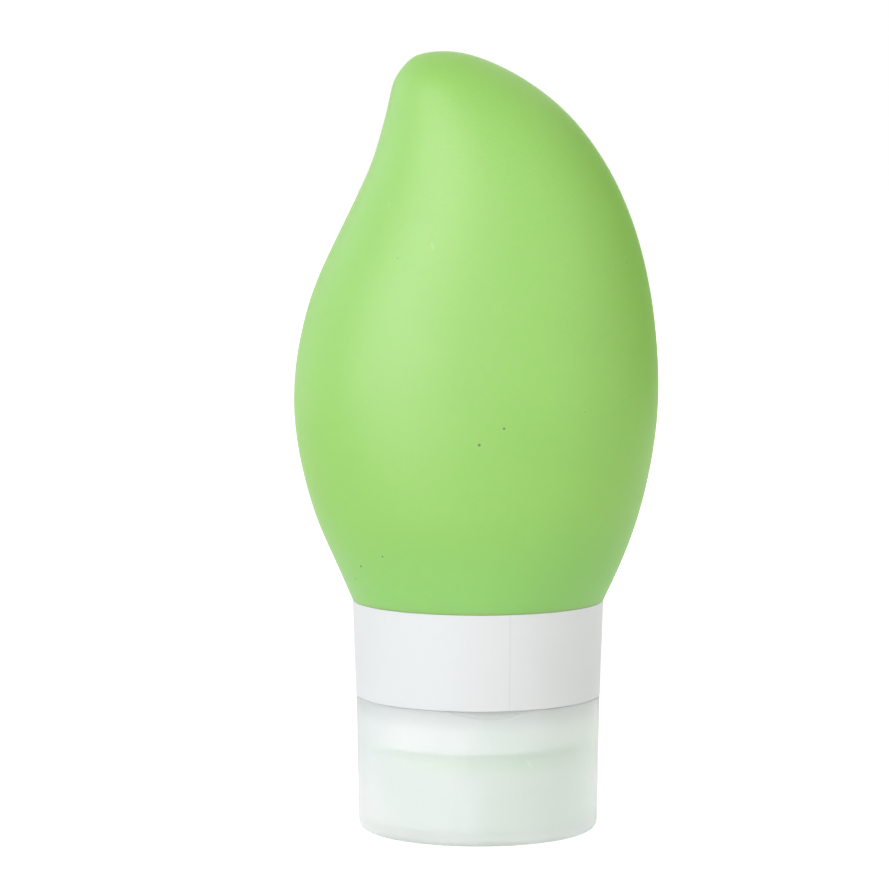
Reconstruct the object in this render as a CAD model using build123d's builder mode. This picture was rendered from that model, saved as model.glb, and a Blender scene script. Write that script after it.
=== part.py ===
from build123d import *
import math
import os

# A squeezable silicone travel bottle, standing on the lid of its screw cap.
# Z runs up from the flat face of the lid, and the front of the bottle faces -Y.

# The cap as a whole
cap_turned = 5.5  # degrees that the fully tightened cap stands past the bottle's front
seam_gap = 0.3  # between the lid's rim and the collar's foot
running_gap = 0.3  # between parts that pass each other
swing_gap = 0.3  # between the lid's rim and what it swings past
seat_gap = 0.1  # between the collar's top and the body's shoulder
press_gap = 0.02  # round a pin or sleeve that is pushed home
cut_overrun = 1.0  # how far a cutter runs past the face that it cuts

# Lid
lid_height = 19.6
lid_rim_step = 0.06  # how far the rim stands inside the collar's foot
lid_taper = 0.35  # how much narrower the lid is at its face
lid_wall = 1.15
lid_floor = 1.4
lid_edge_bevel = 0.6
lid_corner_bevel = 0.8
lid_bead_height = 1.6
stopper_root_radius = 3.4
stopper_radius = 2.4
stopper_bevel = 1.2
notch_half_width = 6.2
notch_drop = 1.3
notch_depth = 0.6

# Hinge
hinge_standoff = 0.87  # from the collar's foot out to the hinge's axis
lug_radius = 1.5
lug_reach = 6.0
knuckle_width = 6.8
ear_gap = 0.2
ear_width = 3.0
pin_radius = 0.6
pin_clearance = 0.05
pin_edge_bevel = 0.2

# Collar
collar_height = 14.0
collar_top_radius = 18.5
collar_taper = 0.47  # how much narrower the collar is at its foot
collar_wall = 1.8
collar_edge_bevel = 0.2
collar_web = 1.65
thread_room = 1.2  # between the neck and the collar's bore
deck_drop = 6.6  # from the hinge's level to the deck's outer face
deck_thickness = 1.5
spigot_wall = 1.4
boss_wall = 1.2
boss_lip = 0.4
orifice_radius = 4.5
nozzle_wall = 1.4
nozzle_height = 0.9

# Lid seal
seal_height = 2.2
seal_width = 2.08
seal_inset = 0.2  # how far the ring stands inside the lid rim's swing

# Valve
valve_head_radius = 4.2
valve_bore_radius = 3.4
valve_head_height = 1.0
valve_membrane = 0.7
valve_flange_radius = 7.4
valve_flange_thickness = 1.2
slit_length = 4.4
slit_width = 0.16
seat_wall = 0.9
seat_height = 0.9

# Valve carrier
carrier_tube_radius = 10.2
carrier_wall = 1.2
carrier_bore_radius = 6.0
carrier_bore_length = 1.9
carrier_flange = 1.0
carrier_clearance = 0.5  # round the flange, in the collar's bore

# Neck gasket
gasket_thickness = 1.2
gasket_lap = 0.5  # how far the gasket reaches in past the neck's bore

# Neck insert
insert_flange = 1.0
insert_wall = 1.0
insert_length = 8.6

# Bottle body
neck_wall = 2.6
body_wall = 2.2
shoulder_wall = 3.6
body_height = 80.4
body_half_width = 26.8
body_half_depth = 21.3
shoulder_bevel = 0.15
section_points = 16

# Sections of the body from the shoulder up. Height is a share of the body's height, centre and
# half width are shares of its half width, half depth is a share of its half depth.
# The last share squares the section off: 1 is an ellipse, less is nearer a rounded box.
section_shares = [
    (0.070, 0.002, 0.785, 0.912, 0.97),
    (0.143, -0.005, 0.873, 0.962, 0.94),
    (0.217, -0.010, 0.937, 0.988, 0.92),
    (0.290, -0.013, 0.979, 1.000, 0.91),
    (0.364, -0.012, 0.998, 0.996, 0.90),
    (0.438, -0.006, 0.990, 0.976, 0.90),
    (0.511, 0.006, 0.959, 0.942, 0.90),
    (0.584, 0.024, 0.906, 0.894, 0.90),
    (0.656, 0.047, 0.830, 0.832, 0.90),
    (0.730, 0.061, 0.736, 0.760, 0.91),
    (0.802, 0.053, 0.632, 0.675, 0.92),
    (0.857, 0.020, 0.548, 0.598, 0.93),
    (0.911, -0.039, 0.448, 0.502, 0.94),
    (0.947, -0.099, 0.360, 0.415, 0.96),
    (0.974, -0.146, 0.259, 0.310, 0.98),
    (0.990, -0.179, 0.171, 0.206, 1.00),
]
apex_share = -0.190

# Levels up the bottle, stacked from the lid's face
collar_foot = lid_height + seam_gap
hinge_level = lid_height + seam_gap / 2
collar_top = collar_foot + collar_height
ledge_level = collar_foot + collar_web
carrier_top = ledge_level + carrier_flange
gasket_top = carrier_top + gasket_thickness
neck_end = gasket_top + insert_flange
shoulder_level = collar_top + seat_gap
apex_level = shoulder_level + body_height

deck_level = hinge_level - deck_drop
deck_top = deck_level + deck_thickness
seal_foot = deck_level - seal_height
boss_foot = seal_foot - boss_lip
nozzle_foot = deck_level - nozzle_height
valve_flange_top = deck_top + valve_flange_thickness
valve_foot = deck_top - valve_head_height
stopper_top = valve_foot - running_gap

# Radii worked inwards from the collar
collar_foot_radius = collar_top_radius - collar_taper
collar_bore = collar_top_radius - collar_wall
neck_radius = collar_bore - thread_room
neck_bore = neck_radius - neck_wall
insert_radius = neck_bore - press_gap
insert_bore = insert_radius - insert_wall
carrier_flange_radius = collar_bore - carrier_clearance
gasket_radius = carrier_flange_radius
gasket_bore_radius = neck_bore - gasket_lap
lid_rim_radius = collar_foot_radius - lid_rim_step
lid_face_radius = lid_rim_radius - lid_taper
lid_rim_bore = lid_rim_radius - lid_wall
lid_face_bore = lid_face_radius - lid_wall
hinge_offset = collar_foot_radius + hinge_standoff


def swing_radius(level):
    # the widest that a part inside the lid can be at this level, for the rim to swing past it
    reach = hinge_offset + lid_rim_bore - swing_gap
    return math.sqrt(reach**2 - (hinge_level - level) ** 2) - hinge_offset


def lid_bore_at(level):
    return lid_face_bore + (lid_rim_bore - lid_face_bore) * level / lid_height


spigot_foot_radius = swing_radius(deck_level)
spigot_bore = spigot_foot_radius - spigot_wall
seal_top_radius = spigot_foot_radius - seal_inset
seal_foot_radius = swing_radius(seal_foot) - seal_inset
seal_bore = seal_top_radius - seal_width
boss_radius = seal_bore - press_gap
bead_level = seal_foot + seal_height / 2
bead_bore = (seal_top_radius + seal_foot_radius) / 2 + running_gap

# The cap's own plane and the plane across its hinge, with X outwards and Y up
cap_plane = Plane.XY.rotated((0, 0, cap_turned))
hinge_centre = cap_plane.y_dir * hinge_offset + Vector(0, 0, hinge_level)
hinge_plane = Plane(origin=hinge_centre, x_dir=cap_plane.y_dir, z_dir=cap_plane.x_dir)
hinge_relief = lug_radius + running_gap
ear_inside = knuckle_width / 2 + ear_gap
ear_outside = ear_inside + ear_width


def body_section(level, centre, half_width, half_depth, squared_share):
    # one closed outline of the body on a level plane
    outline = []
    stops = [step / section_points for step in range(section_points + 1)]
    for step in range(section_points):
        turn = 2 * math.pi * step / section_points
        across = math.copysign(abs(math.cos(turn)) ** squared_share, math.cos(turn))
        along = math.copysign(abs(math.sin(turn)) ** squared_share, math.sin(turn))
        outline.append((centre + half_width * across, half_depth * along))
    with BuildSketch(Plane.XY.offset(level)) as section:
        with BuildLine():
            add(Edge.make_spline(outline, periodic=True, parameters=stops))
        make_face()
    return section.sketch


def inset_section(lower, here, upper):
    # the same section moved in by the wall, square to the surface
    rise = upper[0] - lower[0]
    spread = (upper[2] + upper[3] - lower[2] - lower[3]) / 2
    slant = math.hypot(rise, spread)
    sideways = body_wall * rise / slant
    level = here[0] + body_wall * spread / slant
    return (level, here[1], here[2] - sideways, here[3] - sideways, here[4])


def lug_profile(root_radius, lift):
    # a round eye on the hinge's axis, with a web that runs back into the wall.
    # lift is 1 for a web above the axis and -1 for one below it
    across = root_radius - hinge_offset
    tilt = math.atan2(lug_reach, across) - math.acos(lug_radius / math.hypot(across, lug_reach))
    Circle(lug_radius)
    Polygon(
        (across, lift * seam_gap / 2),
        (lug_radius * math.cos(tilt), lift * lug_radius * math.sin(tilt)),
        (across, lift * lug_reach),
        align=None,
    )


shoulder_row = (shoulder_level, 0, collar_top_radius, collar_top_radius, 1)
apex_row = (apex_level, apex_share * body_half_width, 0, 0, 1)
outer_rows = [shoulder_row]
for height, centre, width, depth, squared in section_shares:
    outer_rows.append(
        (
            shoulder_level + height * body_height,
            centre * body_half_width,
            width * body_half_width,
            depth * body_half_depth,
            squared,
        )
    )
outer_rows.append(apex_row)

thick_row = outer_rows[1]
inner_rows = [
    (neck_end + insert_length, 0, insert_bore, insert_bore, 1),
    (thick_row[0], thick_row[1], thick_row[2] - shoulder_wall, thick_row[3] - shoulder_wall, 1),
]
for place in range(2, len(outer_rows) - 1):
    inner_rows.append(inset_section(*outer_rows[place - 1 : place + 2]))

# Bottle body with its neck
with BuildPart() as bottle_body:
    loft(
        sections=[
            *(body_section(*row) for row in outer_rows[:-1]),
            Vertex(apex_row[1], 0, apex_level),
        ]
    )
    chamfer(bottle_body.edges().group_by(Axis.Z)[0], shoulder_bevel)
    with BuildSketch(Plane.XY.offset(neck_end)):
        Circle(neck_radius)
    extrude(amount=shoulder_level + body_wall - neck_end)
    loft(
        sections=[
            *(body_section(*row) for row in inner_rows),
            Vertex(apex_row[1], 0, apex_level - body_wall),
        ],
        ruled=True,
        mode=Mode.SUBTRACT,
    )
    with BuildSketch(Plane.XY.offset(neck_end)):
        Circle(neck_bore)
    extrude(amount=shoulder_level + body_wall - neck_end, mode=Mode.SUBTRACT)
bottle_body.part.label = "bottle_body"

# Neck insert: a flanged sleeve that keeps the soft neck round
with BuildPart() as neck_insert:
    with BuildSketch(Plane.XZ):
        with BuildLine():
            Polyline(
                (insert_bore, gasket_top),
                (neck_radius, gasket_top),
                (neck_radius, neck_end),
                (insert_radius, neck_end),
                (insert_radius, neck_end + insert_length),
                (insert_bore, neck_end + insert_length),
                close=True,
            )
        make_face()
    revolve(axis=Axis.Z)
neck_insert.part.label = "neck_insert"

# Neck gasket
with BuildPart() as neck_gasket:
    with BuildSketch(Plane.XY.offset(carrier_top)):
        Circle(gasket_radius)
        Circle(gasket_bore_radius, mode=Mode.SUBTRACT)
    extrude(amount=gasket_thickness)
neck_gasket.part.label = "neck_gasket"

# Collar: threaded skirt, spigot, deck and nozzle, with the hinge's two ears
with BuildPart() as collar:
    with BuildSketch(Plane.XZ):
        with BuildLine():
            Polyline(
                (collar_bore, collar_top),
                (collar_top_radius, collar_top),
                (collar_foot_radius, collar_foot),
                (swing_radius(collar_foot), collar_foot),
                (spigot_foot_radius, deck_level),
                (boss_radius, deck_level),
                (boss_radius, seal_foot),
                (boss_radius + boss_lip, seal_foot),
                (boss_radius, boss_foot),
                (boss_radius - boss_wall, boss_foot),
                (boss_radius - boss_wall, deck_level),
                (orifice_radius + nozzle_wall, deck_level),
                (orifice_radius + nozzle_wall, nozzle_foot),
                (orifice_radius, nozzle_foot),
                (orifice_radius, deck_top),
                (valve_flange_radius + press_gap, deck_top),
                (valve_flange_radius + press_gap, deck_top + seat_height),
                (valve_flange_radius + seat_wall, deck_top + seat_height),
                (valve_flange_radius + seat_wall, deck_top),
                (spigot_bore, deck_top),
                (spigot_bore, ledge_level),
                (collar_bore, ledge_level),
                close=True,
            )
        make_face()
    revolve(axis=Axis.Z)
    top_rings = collar.edges().filter_by(GeomType.CIRCLE).group_by(Axis.Z)[-1]
    chamfer(top_rings.sort_by(SortBy.RADIUS)[-1], collar_edge_bevel)
    with BuildSketch(hinge_plane.offset(-ear_inside)):
        Circle(hinge_relief)
    extrude(amount=2 * ear_inside, mode=Mode.SUBTRACT)
    for near_side in (ear_inside, -ear_outside):
        with BuildSketch(hinge_plane.offset(near_side)):
            lug_profile(collar_bore, 1)
        extrude(amount=ear_width)
    with BuildSketch(hinge_plane.offset(-ear_outside)):
        Circle(pin_radius + press_gap)
    extrude(amount=2 * ear_outside, mode=Mode.SUBTRACT)
collar.part.label = "collar"

# Valve carrier: a funnel that presses the valve's flange on to the deck
with BuildPart() as valve_carrier:
    with BuildSketch(Plane.XZ):
        with BuildLine():
            Polyline(
                (carrier_bore_radius, valve_flange_top),
                (carrier_tube_radius, valve_flange_top),
                (carrier_tube_radius, ledge_level),
                (carrier_flange_radius, ledge_level),
                (carrier_flange_radius, carrier_top),
                (carrier_tube_radius - carrier_wall, carrier_top),
                (carrier_bore_radius, valve_flange_top + carrier_bore_length),
                close=True,
            )
        make_face()
    revolve(axis=Axis.Z)
valve_carrier.part.label = "valve_carrier"

# No-drip valve: a flanged cup with a crossed slit in its floor
with BuildPart() as no_drip_valve:
    with BuildSketch(Plane.XZ):
        with BuildLine():
            Polyline(
                (0, valve_foot),
                (valve_head_radius, valve_foot),
                (valve_head_radius, deck_top),
                (valve_flange_radius, deck_top),
                (valve_flange_radius, valve_flange_top),
                (valve_bore_radius, valve_flange_top),
                (valve_bore_radius, valve_foot + valve_membrane),
                (0, valve_foot + valve_membrane),
                close=True,
            )
        make_face()
    revolve(axis=Axis.Z)
    with BuildSketch(Plane.XY.offset(valve_foot)):
        Rectangle(slit_length, slit_width)
        Rectangle(slit_width, slit_length)
    extrude(amount=valve_membrane, mode=Mode.SUBTRACT)
no_drip_valve.part.label = "no_drip_valve"

# Lid seal: the soft ring round the boss under the deck
with BuildPart() as lid_seal:
    with BuildSketch(Plane.XZ):
        with BuildLine():
            Polyline(
                (seal_bore, seal_foot),
                (seal_foot_radius, seal_foot),
                (seal_top_radius, deck_level),
                (seal_bore, deck_level),
                close=True,
            )
        make_face()
    revolve(axis=Axis.Z)
lid_seal.part.label = "lid_seal"

# Cutter for the thumb notch: a shallow crescent under the rim, of even depth round the wall
notch_radius = (notch_half_width**2 + notch_drop**2) / (2 * notch_drop)
notch_centre = lid_height - notch_drop + notch_radius
with BuildPart() as notch_cutter:
    with BuildSketch(Plane(origin=(0, 0, 0), x_dir=cap_plane.x_dir, z_dir=-cap_plane.y_dir)):
        with Locations((0, notch_centre)):
            Circle(notch_radius)
    extrude(amount=lid_rim_radius + cut_overrun)
    with BuildSketch(Plane.XY):
        Circle(lid_rim_radius - notch_depth)
    extrude(amount=notch_centre + notch_radius, mode=Mode.SUBTRACT)

# Lid: a cup with a stopper for the nozzle, a sealing bead, a thumb notch and the hinge's knuckle
with BuildPart() as lid:
    with BuildSketch(Plane.XZ):
        with BuildLine():
            Polyline(
                (0, 0),
                (lid_face_radius, 0),
                (lid_rim_radius, lid_height),
                (lid_rim_bore, lid_height),
                (lid_bore_at(bead_level + lid_bead_height / 2), bead_level + lid_bead_height / 2),
                (bead_bore, bead_level),
                (lid_bore_at(bead_level - lid_bead_height / 2), bead_level - lid_bead_height / 2),
                (lid_bore_at(lid_floor), lid_floor),
                (stopper_root_radius, lid_floor),
                (stopper_radius, stopper_top - stopper_radius),
                (stopper_radius, stopper_top),
                (0, stopper_top),
                close=True,
            )
        make_face()
    revolve(axis=Axis.Z)
    rings = lid.edges().filter_by(GeomType.CIRCLE)
    chamfer(rings.sort_by(Axis.Z)[0], lid_edge_bevel)
    floor_ring = rings.filter_by_position(Axis.Z, lid_floor, lid_floor).sort_by(SortBy.RADIUS)[-1]
    chamfer(floor_ring, lid_corner_bevel)
    stopper_ring = rings.filter_by_position(Axis.Z, stopper_top, stopper_top)[0]
    chamfer(stopper_ring, stopper_bevel)
    with BuildSketch(hinge_plane.offset(-ear_outside - running_gap)):
        Circle(hinge_relief)
    extrude(amount=2 * (ear_outside + running_gap), mode=Mode.SUBTRACT)
    with BuildSketch(hinge_plane.offset(-knuckle_width / 2)):
        lug_profile(lid_rim_bore, -1)
    extrude(amount=knuckle_width)
    with BuildSketch(hinge_plane.offset(-knuckle_width / 2)):
        Circle(pin_radius + pin_clearance)
    extrude(amount=knuckle_width, mode=Mode.SUBTRACT)
    add(notch_cutter.part, mode=Mode.SUBTRACT)
lid.part.label = "lid"

# Hinge pin
with BuildPart() as hinge_pin:
    with BuildSketch(hinge_plane.offset(-ear_outside)):
        Circle(pin_radius)
    extrude(amount=2 * ear_outside)
    chamfer(hinge_pin.edges().filter_by(GeomType.CIRCLE), pin_edge_bevel)
hinge_pin.part.label = "hinge_pin"

os.makedirs("parts", exist_ok=True)
for piece in (
    bottle_body,
    neck_insert,
    neck_gasket,
    collar,
    valve_carrier,
    no_drip_valve,
    lid_seal,
    lid,
    hinge_pin,
):
    export_step(piece.part, f"parts/{piece.part.label}.step")
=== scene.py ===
import math

import bmesh
import bpy
import numpy as np
from mathutils import Matrix, Vector


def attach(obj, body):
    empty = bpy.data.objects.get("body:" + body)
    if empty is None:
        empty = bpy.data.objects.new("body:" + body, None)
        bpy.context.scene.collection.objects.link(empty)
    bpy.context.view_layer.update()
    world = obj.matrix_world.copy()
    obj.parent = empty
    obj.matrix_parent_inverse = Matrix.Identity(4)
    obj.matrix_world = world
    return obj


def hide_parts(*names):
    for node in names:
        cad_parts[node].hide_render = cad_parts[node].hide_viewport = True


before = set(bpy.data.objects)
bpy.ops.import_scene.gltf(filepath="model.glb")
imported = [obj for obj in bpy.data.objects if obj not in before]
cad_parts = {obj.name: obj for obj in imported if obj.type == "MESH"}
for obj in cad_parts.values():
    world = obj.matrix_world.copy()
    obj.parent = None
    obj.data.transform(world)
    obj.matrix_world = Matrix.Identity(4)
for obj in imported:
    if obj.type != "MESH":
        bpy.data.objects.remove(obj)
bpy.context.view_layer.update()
mm = 0.001
print("stage: packed bottle loaded, nodes:", ", ".join(sorted(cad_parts)))

# Camera, as the photograph was taken: level with the tip, a little downwards
camera = {
    "place": (-4.95, -600.0, 112.63),
    "pitchDown": 5.317,
    "lens": 165.85,
    "sensor": 36.0,
}
cameraData = bpy.data.cameras.new("camera")
cameraData.lens = camera["lens"]
cameraData.sensor_width = camera["sensor"]
cameraObject = bpy.data.objects.new("camera", cameraData)
bpy.context.collection.objects.link(cameraObject)
cameraObject.location = Vector(camera["place"]) * mm
cameraObject.rotation_euler = (math.radians(90 - camera["pitchDown"]), 0, 0)
bpy.context.scene.camera = cameraObject

# The screw cap and its hinge, which stand a few degrees past the bottle's front
cap = {
    "turned": 5.5,
    "hingeOffset": 18.9,
    "hingeLevel": 19.75,
    "lugRadius": 1.5,
    "lugStart": 172,
    "lugSteps": 40,
    "lugReach": 6.0,
    "lugBevel": 0.3,
    "bevelSteps": 3,
    "webRadius": 17.35,
    "webFoot": 0.15,
    "reliefRadius": 1.8,
    "reliefSides": 96,
    "knuckleHalf": 3.4,
    "earInside": 3.6,
    "earOutside": 6.6,
    "lidReliefHalf": 6.9,
    "pinHoleRadius": 0.62,
    "knuckleHoleRadius": 0.65,
    "pinHoleSides": 48,
    "pinHolePast": 1.0,
}
capTurn = math.radians(cap["turned"])
capAcross = Vector((math.cos(capTurn), math.sin(capTurn), 0))
capOut = Vector((-math.sin(capTurn), math.cos(capTurn), 0))
hingeCentre = capOut * cap["hingeOffset"] + Vector((0, 0, cap["hingeLevel"]))


# Nodes: one is placed with its settings, and its sockets take a value or a link
def feed(tree, socket, value):
    if isinstance(value, bpy.types.NodeSocket):
        tree.links.new(value, socket)
    else:
        socket.default_value = value


def place(tree, kind, inputs=None, **settings):
    made = tree.nodes.new(kind)
    for setting, value in settings.items():
        setattr(made, setting, value)
    for key, value in (inputs or {}).items():
        feed(tree, made.inputs[key], value)
    return made


def flow(tree, kind, inputs=None, **settings):
    # the same, for a node of which only the first output goes on
    return place(tree, kind, inputs, **settings).outputs[0]


def maths(tree, operation, *values, clamp=False):
    settings = {"operation": operation, "use_clamp": clamp}
    return flow(tree, "ShaderNodeMath", dict(enumerate(values)), **settings)


def hypotenuse(tree, first, second):
    squares = [maths(tree, "POWER", side, 2.0) for side in (first, second)]
    return maths(tree, "SQRT", maths(tree, "ADD", *squares))


def ramp(tree, value, low, high, toLow=0.0, toHigh=1.0):
    inputs = {0: value, 1: low, 2: high, 3: toLow, 4: toHigh}
    return flow(tree, "ShaderNodeMapRange", inputs, interpolation_type="SMOOTHSTEP")


def newTree(name, kind, takes, gives):
    # takes and gives hold each socket's name with its kind
    tree = bpy.data.node_groups.new(name, kind)
    for way, sockets in (("INPUT", takes), ("OUTPUT", gives)):
        for socketName, socketKind in sockets.items():
            fullKind = "NodeSocket" + socketKind
            tree.interface.new_socket(socketName, in_out=way, socket_type=fullKind)
    return tree, tree.nodes.new("NodeGroupInput").outputs, tree.nodes.new("NodeGroupOutput").inputs


# Trees that make geometry. Their lengths are in metres
treeValues = {
    "turnedMerge": 0.5e-6,
    "toothBendSteps": 3,
    "toothBend": 0.0002,
    "runoutSize": 0.04,
}


def newGeometryTree(name, takes):
    takes = {"Geometry": "Geometry", **takes, "Material": "Material"}
    return newTree(name, "GeometryNodeTree", takes, {"Geometry": "Geometry"})


def finishGeometryTree(tree, geometry, taken, given):
    real = flow(tree, "GeometryNodeRealizeInstances", {"Geometry": geometry})
    inputs = {"Geometry": real, "Material": taken["Material"]}
    tree.links.new(flow(tree, "GeometryNodeSetMaterial", inputs), given["Geometry"])
    return tree


# This one turns a profile about the bottle's axis. The profile is a chain of edges with its
# radius along X and its level along Y, and "bend" on each point is how far its corner is rounded
def makeTurnedTree():
    takes = {"Segments": "Int", "Path Radius": "Float", "Bend Steps": "Int"}
    tree, taken, given = newGeometryTree("turnedPiece", takes)
    bend = flow(tree, "GeometryNodeInputNamedAttribute", {"Name": "bend"}, data_type="FLOAT")
    chain = flow(tree, "GeometryNodeMeshToCurve", {"Mesh": taken["Geometry"]})
    inputs = {"Curve": chain, "Count": taken["Bend Steps"], "Radius": bend, "Limit Radius": True}
    rounded = flow(tree, "GeometryNodeFilletCurve", inputs, mode="POLY")
    inwards = maths(tree, "MULTIPLY", taken["Path Radius"], -1.0)
    shift = flow(tree, "ShaderNodeCombineXYZ", {"X": inwards})
    inputs = {"Geometry": rounded, "Translation": shift, "Scale": (1.0, -1.0, 1.0)}
    profile = flow(tree, "GeometryNodeTransform", inputs)
    inputs = {"Resolution": taken["Segments"], "Radius": taken["Path Radius"]}
    path = flow(tree, "GeometryNodeCurvePrimitiveCircle", inputs)
    upright = flow(tree, "GeometryNodeSetCurveNormal", {"Curve": path}, mode="Z_UP")
    inputs = {"Curve": upright, "Profile Curve": profile}
    swept = flow(tree, "GeometryNodeCurveToMesh", inputs)
    inputs = {"Geometry": swept, "Distance": treeValues["turnedMerge"]}
    merged = flow(tree, "GeometryNodeMergeByDistance", inputs)
    return finishGeometryTree(tree, merged, taken, given)


# This one sweeps a thread's tooth up a helix, running out to nothing at both ends
def makeThreadTree():
    sizes = ["Root Radius", "Pitch", "Turns", "Start Level", "Start Angle", "Runout"]
    takes = {**dict.fromkeys(sizes, "Float"), "Steps": "Int"}
    tree, taken, given = newGeometryTree("screwThread", takes)
    tooth = flow(tree, "GeometryNodeMeshToCurve", {"Mesh": taken["Geometry"]})
    inputs = {
        "Curve": tooth,
        "Count": treeValues["toothBendSteps"],
        "Radius": treeValues["toothBend"],
        "Limit Radius": True,
    }
    rounded = flow(tree, "GeometryNodeFilletCurve", inputs, mode="POLY")
    inputs = {
        "Resolution": taken["Steps"],
        "Rotations": taken["Turns"],
        "Start Radius": taken["Root Radius"],
        "End Radius": taken["Root Radius"],
        "Height": maths(tree, "MULTIPLY", taken["Pitch"], taken["Turns"]),
        "Reverse": True,
    }
    helix = flow(tree, "GeometryNodeCurveSpiral", inputs)
    lift = flow(tree, "ShaderNodeCombineXYZ", {"Z": taken["Start Level"]})
    turn = flow(tree, "ShaderNodeCombineXYZ", {"Z": taken["Start Angle"]})
    inputs = {"Geometry": helix, "Translation": lift, "Rotation": turn}
    placed = flow(tree, "GeometryNodeTransform", inputs)
    share = place(tree, "GeometryNodeSplineParameter").outputs["Factor"]
    fromEnd = maths(tree, "MINIMUM", share, maths(tree, "SUBTRACT", 1.0, share))
    fullness = ramp(tree, fromEnd, 0.0, taken["Runout"], treeValues["runoutSize"], 1.0)
    upright = flow(tree, "GeometryNodeSetCurveNormal", {"Curve": placed}, mode="Z_UP")
    inputs = {"Curve": upright, "Profile Curve": rounded, "Scale": fullness, "Fill Caps": True}
    swept = flow(tree, "GeometryNodeCurveToMesh", inputs)
    return finishGeometryTree(tree, swept, taken, given)


# This one presses the crescent thumb notch into the lid's outer skin, under its rim
def makeNotchTree():
    sizes = ["Turned", "Half Width", "Drop", "Depth", "Edge", "Rim Level", "Skin Radius"]
    tree, taken, given = newGeometryTree("thumbNotch", dict.fromkeys(sizes, "Float"))
    position = flow(tree, "GeometryNodeInputPosition")
    inputs = {"Vector": position, "Angle": maths(tree, "MULTIPLY", taken["Turned"], -1.0)}
    ownTurn = flow(tree, "ShaderNodeVectorRotate", inputs, rotation_type="Z_AXIS")
    across, forth, level = place(tree, "ShaderNodeSeparateXYZ", {0: ownTurn}).outputs
    radius = hypotenuse(tree, across, forth)
    # the crescent is cut by a circle that stands over the rim
    squares = [maths(tree, "POWER", taken[side], 2.0) for side in ("Half Width", "Drop")]
    twice = maths(tree, "MULTIPLY", taken["Drop"], 2.0)
    circleRadius = maths(tree, "DIVIDE", maths(tree, "ADD", *squares), twice)
    circleFoot = maths(tree, "SUBTRACT", taken["Rim Level"], taken["Drop"])
    circleLevel = maths(tree, "ADD", circleFoot, circleRadius)
    reach = hypotenuse(tree, across, maths(tree, "SUBTRACT", circleLevel, level))
    inside = maths(tree, "SUBTRACT", circleRadius, reach)
    pressed = ramp(tree, inside, 0.0, taken["Edge"])
    front = maths(tree, "LESS_THAN", forth, 0.0)
    skin = maths(tree, "GREATER_THAN", radius, taken["Skin Radius"])
    mask = maths(tree, "MULTIPLY", maths(tree, "MULTIPLY", pressed, front), skin)
    depth = maths(tree, "MULTIPLY", mask, taken["Depth"])
    parts = place(tree, "ShaderNodeSeparateXYZ", {0: position}).outputs
    inwards = maths(tree, "DIVIDE", maths(tree, "MULTIPLY", depth, -1.0), radius)
    moves = {key: maths(tree, "MULTIPLY", parts[key], inwards) for key in ("X", "Y")}
    offset = flow(tree, "ShaderNodeCombineXYZ", moves)
    inputs = {"Geometry": taken["Geometry"], "Selection": skin, "Offset": offset}
    moved = flow(tree, "GeometryNodeSetPosition", inputs)
    return finishGeometryTree(tree, moved, taken, given)


turnedTree = makeTurnedTree()
threadTree = makeThreadTree()
notchTree = makeNotchTree()


# Shader groups for what several finishes share
marks = {
    "driftLow": 0.3,
    "driftHigh": 0.7,
    "raggedScale": 2600.0,
    "raggedDepth": 1.2,
    "raggedLeast": 0.4,
    "speckCore": 0.7,
    "scuffStretch": (1.0, 1.0, 0.07),
    "scuffLeast": 0.3,
}


def newShaderGroup(name, values, gives):
    takes = {"Vector": "Vector", **dict.fromkeys(values, "Float")}
    return newTree(name, "ShaderNodeTree", takes, {gives: "Float"})


def noise(tree, spot, scale, detail, roughness=0.5):
    inputs = {"Vector": spot, "Scale": scale, "Detail": detail, "Roughness": roughness}
    return flow(tree, "ShaderNodeTexNoise", inputs)


def scattered(tree, spot, taken):
    # cells, of which some are chosen, each with a random number of its own
    cells = place(tree, "ShaderNodeTexVoronoi", {"Vector": spot, "Scale": taken["Scale"]}).outputs
    random = place(tree, "ShaderNodeSeparateColor", {0: cells["Color"]}).outputs
    chosen = maths(tree, "LESS_THAN", random[0], taken["Share"])
    return cells["Distance"], chosen, random[1]


def makeDriftGroup():
    tree, taken, given = newShaderGroup("slowDrift", ["Scale"], "Value")
    clouds = noise(tree, taken["Vector"], taken["Scale"], detail=2.0, roughness=0.45)
    value = ramp(tree, clouds, marks["driftLow"], marks["driftHigh"])
    tree.links.new(value, given["Value"])
    return tree


def makeGrainGroup():
    values = ["Scale", "Wave Scale", "Wave Share"]
    tree, taken, given = newShaderGroup("mouldGrain", values, "Height")
    fine = noise(tree, taken["Vector"], taken["Scale"], detail=3.0, roughness=0.6)
    wave = noise(tree, taken["Vector"], taken["Wave Scale"], detail=1.0)
    height = maths(tree, "MULTIPLY_ADD", wave, taken["Wave Share"], fine)
    tree.links.new(height, given["Height"])
    return tree


def makeDustGroup():
    tree, taken, given = newShaderGroup("dustSpecks", ["Scale", "Size", "Share"], "Mask")
    distance, chosen, random = scattered(tree, taken["Vector"], taken)
    ragged = noise(tree, taken["Vector"], marks["raggedScale"], detail=1.0)
    uneven = maths(tree, "MULTIPLY_ADD", ragged, marks["raggedDepth"], marks["raggedLeast"])
    grown = maths(tree, "MULTIPLY", taken["Size"], maths(tree, "MULTIPLY", random, uneven))
    core = maths(tree, "MULTIPLY", grown, marks["speckCore"])
    speck = ramp(tree, distance, core, grown, 1.0, 0.0)
    tree.links.new(maths(tree, "MULTIPLY", speck, chosen), given["Mask"])
    return tree


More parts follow.
